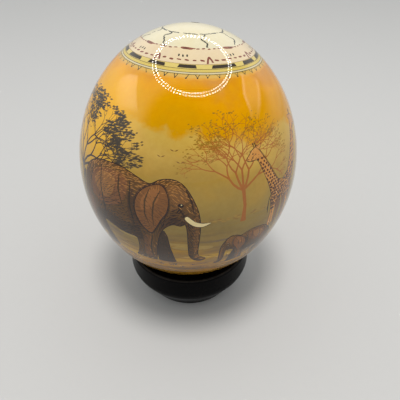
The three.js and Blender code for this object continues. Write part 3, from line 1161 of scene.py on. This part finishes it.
def arc_points(x, y, radius, start, end, steps):
    """Points along an arc about (x, y), from one angle to another."""
    turns = np.linspace(start, end, steps + 1)
    return [(x + radius * math.cos(a), y + radius * math.sin(a)) for a in turns]


def stand_profile():
    """The stand's radius and height from the underside round the outside to the relief in its dish."""
    seat_radius = SEAT_SPHERE_RADIUS + SEAT_GAP
    seat_top = math.asin((STAND_HEIGHT - SEAT_EDGE - SEAT_CENTRE_HEIGHT) / seat_radius)
    seat_foot = -math.acos(SEAT_INNER_RADIUS / seat_radius)
    land = seat_radius * math.cos(seat_top) + 1.5 * SEAT_EDGE
    quarter = math.pi / 2
    return [
        (BASE_RADIUS - 4 * BASE_EDGE, 0),
        *arc_points(BASE_RADIUS - BASE_EDGE, BASE_EDGE, BASE_EDGE, -quarter, 0, 8),
        *arc_points(WIDEST_RADIUS - SHOULDER_RADIUS, WIDEST_HEIGHT, SHOULDER_RADIUS, -TAPER_ANGLE, 0, 16),
        *arc_points(RIM_RADIUS - RIM_EDGE, STAND_HEIGHT - RIM_EDGE, RIM_EDGE, 0, quarter, 10),
        (land, STAND_HEIGHT),
        *arc_points(0, SEAT_CENTRE_HEIGHT, seat_radius, seat_top, seat_foot, 16),
        (RELIEF_RADIUS, RELIEF_HEIGHT),
        (RELIEF_RADIUS - 4, RELIEF_HEIGHT),
    ]


def turned(name, profile, segments):
    """A closed solid of revolution; the profile's ends are joined to the axis by flat discs."""
    bm = bmesh.new()
    rings = []
    for radius, height in profile:
        ring = []
        for k in range(segments):
            turn = 2 * math.pi * k / segments
            place = (radius * math.cos(turn) * MM, radius * math.sin(turn) * MM, height * MM)
            ring.append(bm.verts.new(place))
        rings.append(ring)
    for lower, upper in zip(rings, rings[1:]):
        for k in range(segments):
            n = (k + 1) % segments
            bm.faces.new([lower[k], lower[n], upper[n], upper[k]])
    bm.faces.new(list(reversed(rings[0])))
    bm.faces.new(rings[-1])
    for face in bm.faces:
        face.smooth = True
    mesh = bpy.data.meshes.new(name)
    bm.to_mesh(mesh)
    bm.free()
    return placed(name, mesh)


# ---------------------------------------------------------------- materials

def new_material(name, inputs):
    """A material with some of its shader's inputs set by name."""
    material = bpy.data.materials.new(name)
    material.use_nodes = True
    shader = material.node_tree.nodes["Principled BSDF"]
    for key, value in inputs.items():
        shader.inputs[key].default_value = value
    return material, material.node_tree, shader


def add_node(tree, kind, **values):
    """A node with some of its inputs or properties set by name."""
    made = tree.nodes.new(kind)
    for key, value in values.items():
        if key in made.inputs:
            made.inputs[key].default_value = value
        else:
            setattr(made, key, value)
    return made


def scaled_place(tree, x, y, z):
    """Where a point of the surface is, in metres, stretched along each axis."""
    place = add_node(tree, "ShaderNodeTexCoord")
    stretch = add_node(tree, "ShaderNodeMapping")
    stretch.inputs["Scale"].default_value = (x, y, z)
    tree.links.new(place.outputs["Object"], stretch.inputs["Vector"])
    return stretch.outputs["Vector"]


def noise_value(tree, vector, scale, detail=4.0, roughness=0.55, low=0.0, high=1.0):
    """Noise spread over the range from low to high."""
    noise = add_node(tree, "ShaderNodeTexNoise", Scale=scale, Detail=detail, Roughness=roughness)
    tree.links.new(vector, noise.inputs["Vector"])
    return ramped(tree, noise.outputs["Fac"], 0.28, 0.72, low, high, "LINEAR")


def ramped(tree, value, start, end, low, high, kind="SMOOTHSTEP"):
    """A value that goes from low to high while another goes from start to end."""
    ramp = add_node(tree, "ShaderNodeMapRange", interpolation_type=kind)
    for name, number in (("From Min", start), ("From Max", end), ("To Min", low), ("To Max", high)):
        ramp.inputs[name].default_value = number
    tree.links.new(value, ramp.inputs["Value"])
    return ramp.outputs["Result"]


def calculated(tree, operation, first, second):
    """Two values put together; each is a socket or a number."""
    node = add_node(tree, "ShaderNodeMath", operation=operation)
    for value, socket in zip((first, second), node.inputs):
        if isinstance(value, (int, float)):
            socket.default_value = value
        else:
            tree.links.new(value, socket)
    return node.outputs["Value"]


def mixed(tree, factor, first, second, blend="MIX"):
    """Two colours put together; each is a socket or a code."""
    node = add_node(tree, "ShaderNodeMix", data_type="RGBA", blend_type=blend)
    if isinstance(factor, (int, float)):
        node.inputs["Factor"].default_value = factor
    else:
        tree.links.new(factor, node.inputs["Factor"])
    for value, name in ((first, "A"), (second, "B")):
        socket = next(i for i in node.inputs if i.name == name and i.type == "RGBA")
        if isinstance(value, str):
            socket.default_value = linear(value) + [1]
        else:
            tree.links.new(value, socket)
    return next(o for o in node.outputs if o.type == "RGBA")


def height_of(tree):
    """How high a point of the surface is, in metres."""
    place = add_node(tree, "ShaderNodeTexCoord")
    split = add_node(tree, "ShaderNodeSeparateXYZ")
    tree.links.new(place.outputs["Object"], split.inputs["Vector"])
    return split.outputs["Z"]


VARNISH = {
    "Roughness": 0.6,
    "Specular IOR Level": 0.0,
    "Coat Weight": 1.0,
    "Coat Roughness": 0.012,
    "Coat IOR": 1.48,
}

# The plain colours under the print, by height in millimetres above the egg's centre
WASHES = [
    (-66, "#6f580c"), (-48, "#92690a"), (-36, "#aa780c"), (-26, "#ac8320"), (-15, "#917940"), (-4, "#8d773d"),
    (8, "#9e8541"), (22, "#ae8d3a"), (33, "#c4a24d"), (40.5, "#caa850"), (43.5, "#ce9608"), (50, "#d89a00"),
    (56, "#df9c08"), (60.5, "#d5931f"), (65, "#cb8e37"),
]

# The glow in the sky: its middle, where it starts to fade and where it ends
GLOW_PLACE = (-41, -29, 142)
GLOW_FADES = 10
GLOW_ENDS = 36
GLOW_COLOUR = "#f8ba10"

# The ground's streaks start just above the egg's centre and are strongest this far below it
STREAKS_START = 2
STREAKS_FULL = -14
STREAK_COLOUR = "#68523f"


def varnished_print():
    """The print, a little mottled and worn, under a clear and slightly rippled coat."""
    material, tree, shader = new_material("varnished_print", VARNISH)
    ink = add_node(tree, "ShaderNodeAttribute", attribute_name="ink")
    plain = scaled_place(tree, 1, 1, 1)
    picture = mixed(tree, ink.outputs["Alpha"], sky_and_ground(tree), ink.outputs["Color"])
    mottling = noise_value(tree, plain, 420, 3.0, 0.6, 0.0, 0.22)
    mottled = mixed(tree, mottling, picture, "#8a7a58", "SOFT_LIGHT")
    wear_and_highlight = noise_value(tree, plain, 75, 5.0, 0.62, 0.0, 0.16)
    worn = mixed(tree, wear_and_highlight, mottled, "#e8cf90", "OVERLAY")
    tree.links.new(worn, shader.inputs["Base Color"])
    ripple = add_node(tree, "ShaderNodeBump", Strength=0.2, Distance=0.00008)
    tree.links.new(noise_value(tree, plain, 55, 2.0, 0.5), ripple.inputs["Height"])
    tree.links.new(ripple.outputs["Normal"], shader.inputs["Coat Normal"])
    return material


def sky_and_ground(tree):
    """Orange and gold above, khaki below and streaky brown ground, in washes that run together."""
    plain = scaled_place(tree, 1, 1, 1)
    drift = add_node(tree, "ShaderNodeAttribute", attribute_name="drift")
    height = calculated(tree, "ADD", height_of(tree), drift.outputs["Fac"])
    height = calculated(tree, "ADD", height, noise_value(tree, plain, 30, 4.0, 0.55, -0.009, 0.009))
    height = calculated(tree, "ADD", height, noise_value(tree, plain, 110, 5.0, 0.6, -0.0022, 0.0022))
    from_glow = add_node(tree, "ShaderNodeVectorMath", operation="DISTANCE")
    tree.links.new(plain, from_glow.inputs[0])
    from_glow.inputs[1].default_value = [c * MM for c in GLOW_PLACE]
    glow = ramped(tree, from_glow.outputs["Value"], GLOW_FADES * MM, GLOW_ENDS * MM, 0.7, 0.0)
    sky = mixed(tree, glow, wash_colours(tree, height), GLOW_COLOUR)
    streaks = noise_value(tree, scaled_place(tree, 1, 1, 9), 34, 5.0, 0.6, -0.5, 1.0)
    start = (EGG_CENTRE_HEIGHT + STREAKS_START) * MM
    full = (EGG_CENTRE_HEIGHT + STREAKS_FULL) * MM
    low = ramped(tree, height, start, full, 0.0, 0.65, "LINEAR")
    cover = calculated(tree, "MAXIMUM", calculated(tree, "MULTIPLY", streaks, low), 0.0)
    return mixed(tree, cover, sky, STREAK_COLOUR)


def wash_colours(tree, height):
    """The colour of the washes at a height."""
    foot = (EGG_CENTRE_HEIGHT - EGG_HALF_LENGTH) * MM
    head = (EGG_CENTRE_HEIGHT + EGG_HALF_LENGTH) * MM
    ramp = add_node(tree, "ShaderNodeValToRGB")
    tree.links.new(ramped(tree, height, foot, head, 0.0, 1.0, "LINEAR"), ramp.inputs["Fac"])
    elements = ramp.color_ramp.elements
    while len(elements) < len(WASHES):
        elements.new(0.5)
    for element, (z, colour) in zip(elements, WASHES):
        element.position = (z + EGG_HALF_LENGTH) / (2 * EGG_HALF_LENGTH)
        element.color = linear(colour) + [1]
    return ramp.outputs["Color"]


def painted_shade_hole_material():
    """Painted shade: a dark, matt colour on the wall and floor of the shallow blow-hole, which stands in for
    the dark hollow inside the shell.
    """
    return new_material("blow_hole_painted_shade", {"Base Color": linear("#57533c") + [1], "Roughness": 0.8})[0]


LACQUER_IOR = 1.115
LACQUER_DEEP = "#020202"
LACQUER_PALE = "#090809"
# A paler grey for the painted highlight along the stand's rim
LACQUER_RIM_HIGHLIGHT = "#3e3b39"


def black_lacquer():
    """Satin black lacquer over turned wood, with fine turning lines and a painted highlight along the rim."""
    material, tree, shader = new_material("black_lacquer", {"IOR": LACQUER_IOR})
    plain = scaled_place(tree, 1, 1, 1)
    patches = noise_value(tree, scaled_place(tree, 1, 1, 6), 60, 5.0, 0.6)
    colour = mixed(tree, patches, LACQUER_DEEP, LACQUER_PALE)
    # Painted highlight: the band along the rim's edge is coloured paler, broken up by noise
    highlight_breaks = noise_value(tree, plain, 150, 4.0, 0.6, 0.35, 1.0)
    wear_and_highlight = calculated(tree, "MULTIPLY", rim_highlight_band(tree), highlight_breaks)
    tree.links.new(mixed(tree, wear_and_highlight, colour, LACQUER_RIM_HIGHLIGHT), shader.inputs["Base Color"])
    tree.links.new(noise_value(tree, plain, 40, 4.0, 0.6, 0.18, 0.32), shader.inputs["Roughness"])
    grain = add_node(tree, "ShaderNodeBump", Strength=0.25, Distance=0.00006)
    tree.links.new(noise_value(tree, scaled_place(tree, 1, 1, 14), 90, 3.0, 0.5), grain.inputs["Height"])
    tree.links.new(grain.outputs["Normal"], shader.inputs["Normal"])
    return material


def rim_highlight_band(tree):
    """1 on the narrow band where the stand's flat top turns over into its rim, and 0 elsewhere: where the
    highlight along the rim is painted.
    """
    on_top = ramped(tree, height_of(tree), (STAND_HEIGHT - 0.9) * MM, (STAND_HEIGHT - 0.4) * MM, 0.0, 1.0)
    from_axis = add_node(tree, "ShaderNodeVectorMath", operation="LENGTH")
    tree.links.new(scaled_place(tree, 1, 1, 0), from_axis.inputs[0])
    edge = RIM_RADIUS - RIM_EDGE
    beyond = ramped(tree, from_axis.outputs["Value"], (edge - 1.0) * MM, (edge - 0.1) * MM, 0.0, 1.0)
    within = ramped(tree, from_axis.outputs["Value"], (edge + 0.4) * MM, (edge + 1.0) * MM, 1.0, 0.0)
    return calculated(tree, "MULTIPLY", calculated(tree, "MULTIPLY", on_top, beyond), within)


# ---------------------------------------------------------------- studio

CAMERA_PLACE = (7.4, -195.0, 220.0)
CAMERA_TILT = 51.9 * DEGREE
CAMERA_LENS = 34.3
CAMERA_SENSOR = 36
CAMERA_NEAREST = 0.01

# The light of the surroundings, and the share of it that matt surfaces get
WALL_LIGHT = 1.12
LOW_WALL_LIGHT = 0.6
FRONT_LIGHT = 0.36
CEILING_LIGHT = 0.72
MATT_SHARE = 0.88

# The lamp overhead, which makes the shadows
OVERHEAD_PLACE = (25, -250, 1500)
OVERHEAD_RADIUS = 200
OVERHEAD_POWER = 12.4

# The ring of lamps: each of its two rings has a radius and a shift to the back
RING_CENTRE = (12.2, -7.0, 255.0)
RINGS = ((74.8, 0.0), (82.6, 1.2))
RING_LAMPS = 72
LAMP_RADIUS = 1.75
LAMP_LIGHT = 34.0
LAMP_COLOUR = "#fffaf0"

# What the varnish reflects besides: two pale panels and two dark areas, each by its four corners
PANEL_LIGHT = 3.2
LEFT_PANEL = [(-114, 1, 258), (-114, 45, 197), (-114, -35, 174), (-114, -89, 219)]
RIGHT_PANEL = [(140, 22, 273), (140, 64, 209), (140, -35, 174), (140, -89, 219)]
FRONT_SHADE = [(-215, -60, 340), (255, -60, 340), (255, -240, 180), (-215, -240, 180)]
RIGHT_SHADE = [(300, -300, 640), (300, 220, 640), (300, 220, 130), (300, -300, 130)]

FLOOR_REACH = 4.0


def place_camera():
    data = bpy.data.cameras.new("camera")
    data.lens = CAMERA_LENS
    data.sensor_width = CAMERA_SENSOR
    data.clip_start = CAMERA_NEAREST
    camera = placed("camera", data)
    camera.location = [c * MM for c in CAMERA_PLACE]
    camera.rotation_euler = (CAMERA_TILT, 0, 0)
    bpy.context.scene.camera = camera


def reflected(name, mesh, levels, strength):
    """A glowing shape that is seen only in reflections; levels says how solid it is at each point."""
    mesh.attributes.new("glow", "FLOAT", "POINT").data.foreach_set("value", levels)
    material = bpy.data.materials.new(name)
    material.use_nodes = True
    tree = material.node_tree
    tree.nodes.clear()
    glow = add_node(tree, "ShaderNodeEmission", Color=linear(LAMP_COLOUR) + [1], Strength=strength)
    solid = add_node(tree, "ShaderNodeAttribute", attribute_name="glow")
    clear = add_node(tree, "ShaderNodeBsdfTransparent")
    blend = add_node(tree, "ShaderNodeMixShader")
    out = add_node(tree, "ShaderNodeOutputMaterial")
    tree.links.new(solid.outputs["Fac"], blend.inputs[0])
    tree.links.new(clear.outputs[0], blend.inputs[1])
    tree.links.new(glow.outputs[0], blend.inputs[2])
    tree.links.new(blend.outputs[0], out.inputs["Surface"])
    material.cycles.emission_sampling = "NONE"
    mesh.materials.append(material)
    made = placed(name, mesh)
    made.visible_camera = False
    made.visible_diffuse = False
    made.visible_shadow = False
    made.visible_transmission = False


def lamp_ring():
    """Two rings of small round lamps above the egg."""
    bm = bmesh.new()
    for radius, shift in RINGS:
        for k in range(RING_LAMPS):
            turn = 2 * math.pi * k / RING_LAMPS
            x = RING_CENTRE[0] + radius * math.cos(turn)
            y = RING_CENTRE[1] + shift + radius * math.sin(turn)
            place = Matrix.Translation([x * MM, y * MM, RING_CENTRE[2] * MM])
            bmesh.ops.create_icosphere(bm, subdivisions=1, radius=LAMP_RADIUS * MM, matrix=place)
    mesh = bpy.data.meshes.new("lamp_ring")
    bm.to_mesh(mesh)
    bm.free()
    reflected("lamp_ring", mesh, [1.0] * len(mesh.vertices), LAMP_LIGHT)


def reflected_panel(name, corners, glow, strength, steps=20):
    """A flat patch that is seen only in reflections; glow(across, down) says how solid it is.

    Seen in the egg, across goes from the patch's inner side to its outer side, and down from its top.
    """
    top_near, top_far, low_far, low_near = [np.array(c, float) for c in corners]
    points, levels, faces = [], [], []
    for i in range(steps + 1):
        for k in range(steps + 1):
            across, down = i / steps, k / steps
            top = top_near * (1 - across) + top_far * across
            low = low_near * (1 - across) + low_far * across
            points.append((top * (1 - down) + low * down) * MM)
            levels.append(min(max(glow(across, down), 0.0), 1.0))
    for i in range(steps):
        for k in range(steps):
            n = i * (steps + 1) + k
            faces.append((n, n + 1, n + steps + 2, n + steps + 1))
    mesh = bpy.data.meshes.new(name)
    mesh.from_pydata(points, [], faces)
    reflected(name, mesh, levels, strength)


def fade(value, start, end):
    """0 at the start, 1 at the end and smooth between."""
    part = min(max((value - start) / (end - start), 0.0), 1.0)
    return part * part * (3 - 2 * part)


def left_glow(across, down):
    """Strongest along its inner side, with a rounded outer corner at the top and a soft lower end."""
    off_corner = math.hypot(max(0, across - 0.35) / 0.65, max(0, 0.32 - down) / 0.34)
    rounded = fade(1.0 - off_corner, 0.0, 0.3)
    bright = fade(across, 0.0, 0.1) * (1 - 0.75 * fade(across, 0.35, 1.0))
    return bright * rounded * (1 - fade(down, 0.72, 1.0))


def right_glow(across, down):
    """Bright along both sides and weaker between, narrower and fainter towards its lower end."""
    narrow = 0.08 + 0.45 * fade(down, 0.45, 1.0)
    edge = fade(across, narrow - 0.07, narrow + 0.02)
    near_side = 0.55 * fade(across, narrow + 0.16, narrow + 0.03)
    far_side = 0.3 * fade(abs(across - 0.84), 0.1, 0.03)
    bright = 0.3 + near_side + far_side
    off_corner = math.hypot(max(0, across - 0.4) / 0.6, max(0, 0.3 - down) / 0.32)
    rounded = fade(1.0 - off_corner, 0.0, 0.3)
    return edge * bright * rounded * (1 - 0.8 * fade(down, 0.6, 1.0)) * (1 - fade(across, 0.88, 1.0))


def shade_glow(across, down):
    """Solid in the middle, with a wide soft edge."""
    return fade(1.0 - math.hypot(2 * across - 1, 2 * down - 1), 0.0, 0.4)


def overhead_light():
    """A far, round lamp. Reflections don't show it."""
    data = bpy.data.lights.new("overhead", "AREA")
    data.shape = "DISK"
    data.size = 2 * OVERHEAD_RADIUS * MM
    data.energy = OVERHEAD_POWER
    data.color = linear("#fffcf8")
    lamp = placed("overhead", data)
    lamp.location = [c * MM for c in OVERHEAD_PLACE]
    lamp.visible_camera = False
    lamp.visible_glossy = False


def studio_world():
    """Pale walls all round, brightest halfway up, and darker high in front, where the studio is open."""
    world = bpy.data.worlds.new("world")
    world.use_nodes = True
    tree = world.node_tree
    look = add_node(tree, "ShaderNodeTexCoord")
    split = add_node(tree, "ShaderNodeSeparateXYZ")
    tree.links.new(look.outputs["Generated"], split.inputs["Vector"])
    front = ramped(tree, split.outputs["Y"], -0.75, -0.35, FRONT_LIGHT, WALL_LIGHT)
    ceiling = ramped(tree, split.outputs["Z"], 0.55, 0.85, 1.0, CEILING_LIGHT / WALL_LIGHT)
    upper = calculated(tree, "MULTIPLY", front, ceiling)
    above = ramped(tree, split.outputs["Z"], 0.05, 0.45, 0.0, 1.0)
    rise = calculated(tree, "MULTIPLY", calculated(tree, "SUBTRACT", upper, LOW_WALL_LIGHT), above)
    light = calculated(tree, "ADD", rise, LOW_WALL_LIGHT)
    path = add_node(tree, "ShaderNodeLightPath")
    share = ramped(tree, path.outputs["Is Diffuse Ray"], 0.0, 1.0, 1.0, MATT_SHARE)
    light = calculated(tree, "MULTIPLY", light, share)
    background = tree.nodes["Background"]
    background.inputs["Color"].default_value = linear("#fdfefc") + [1]
    tree.links.new(light, background.inputs["Strength"])
    return world


def build_floor():
    """A wide, plain and matt floor."""
    near, far = -FLOOR_REACH, FLOOR_REACH
    mesh = bpy.data.meshes.new("floor")
    mesh.from_pydata([(near, near, 0), (far, near, 0), (far, far, 0), (near, far, 0)], [], [(0, 1, 2, 3)])
    mesh.materials.append(new_material("floor", {"Base Color": linear("#c6c6c6") + [1], "Roughness": 0.7})[0])
    placed("floor", mesh)


def build_studio():
    """Everything that lights the object or shows in its varnish."""
    build_floor()
    bpy.context.scene.world = studio_world()
    bpy.context.scene.view_settings.view_transform = "Standard"
    overhead_light()
    lamp_ring()
    reflected_panel("left_panel", LEFT_PANEL, left_glow, PANEL_LIGHT)
    reflected_panel("right_panel", RIGHT_PANEL, right_glow, PANEL_LIGHT)
    reflected_panel("front_shade", FRONT_SHADE, shade_glow, 0.0)
    reflected_panel("right_shade", RIGHT_SHADE, shade_glow, 0.0)


# ---------------------------------------------------------------- assembly

place_camera()
build_studio()

pattern = Print()
frieze(pattern)
cap_ornament(pattern)
egg = build_egg(pattern)
egg.data.materials.append(varnished_print())
# The blow-hole's material, with its painted shade
egg.data.materials.append(painted_shade_hole_material())
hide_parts("egg")
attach(egg, "root")

stand = turned("turned_stand", stand_profile(), STAND_SEGMENTS)
stand.data.materials.append(black_lacquer())
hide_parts("stand")
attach(stand, "root")
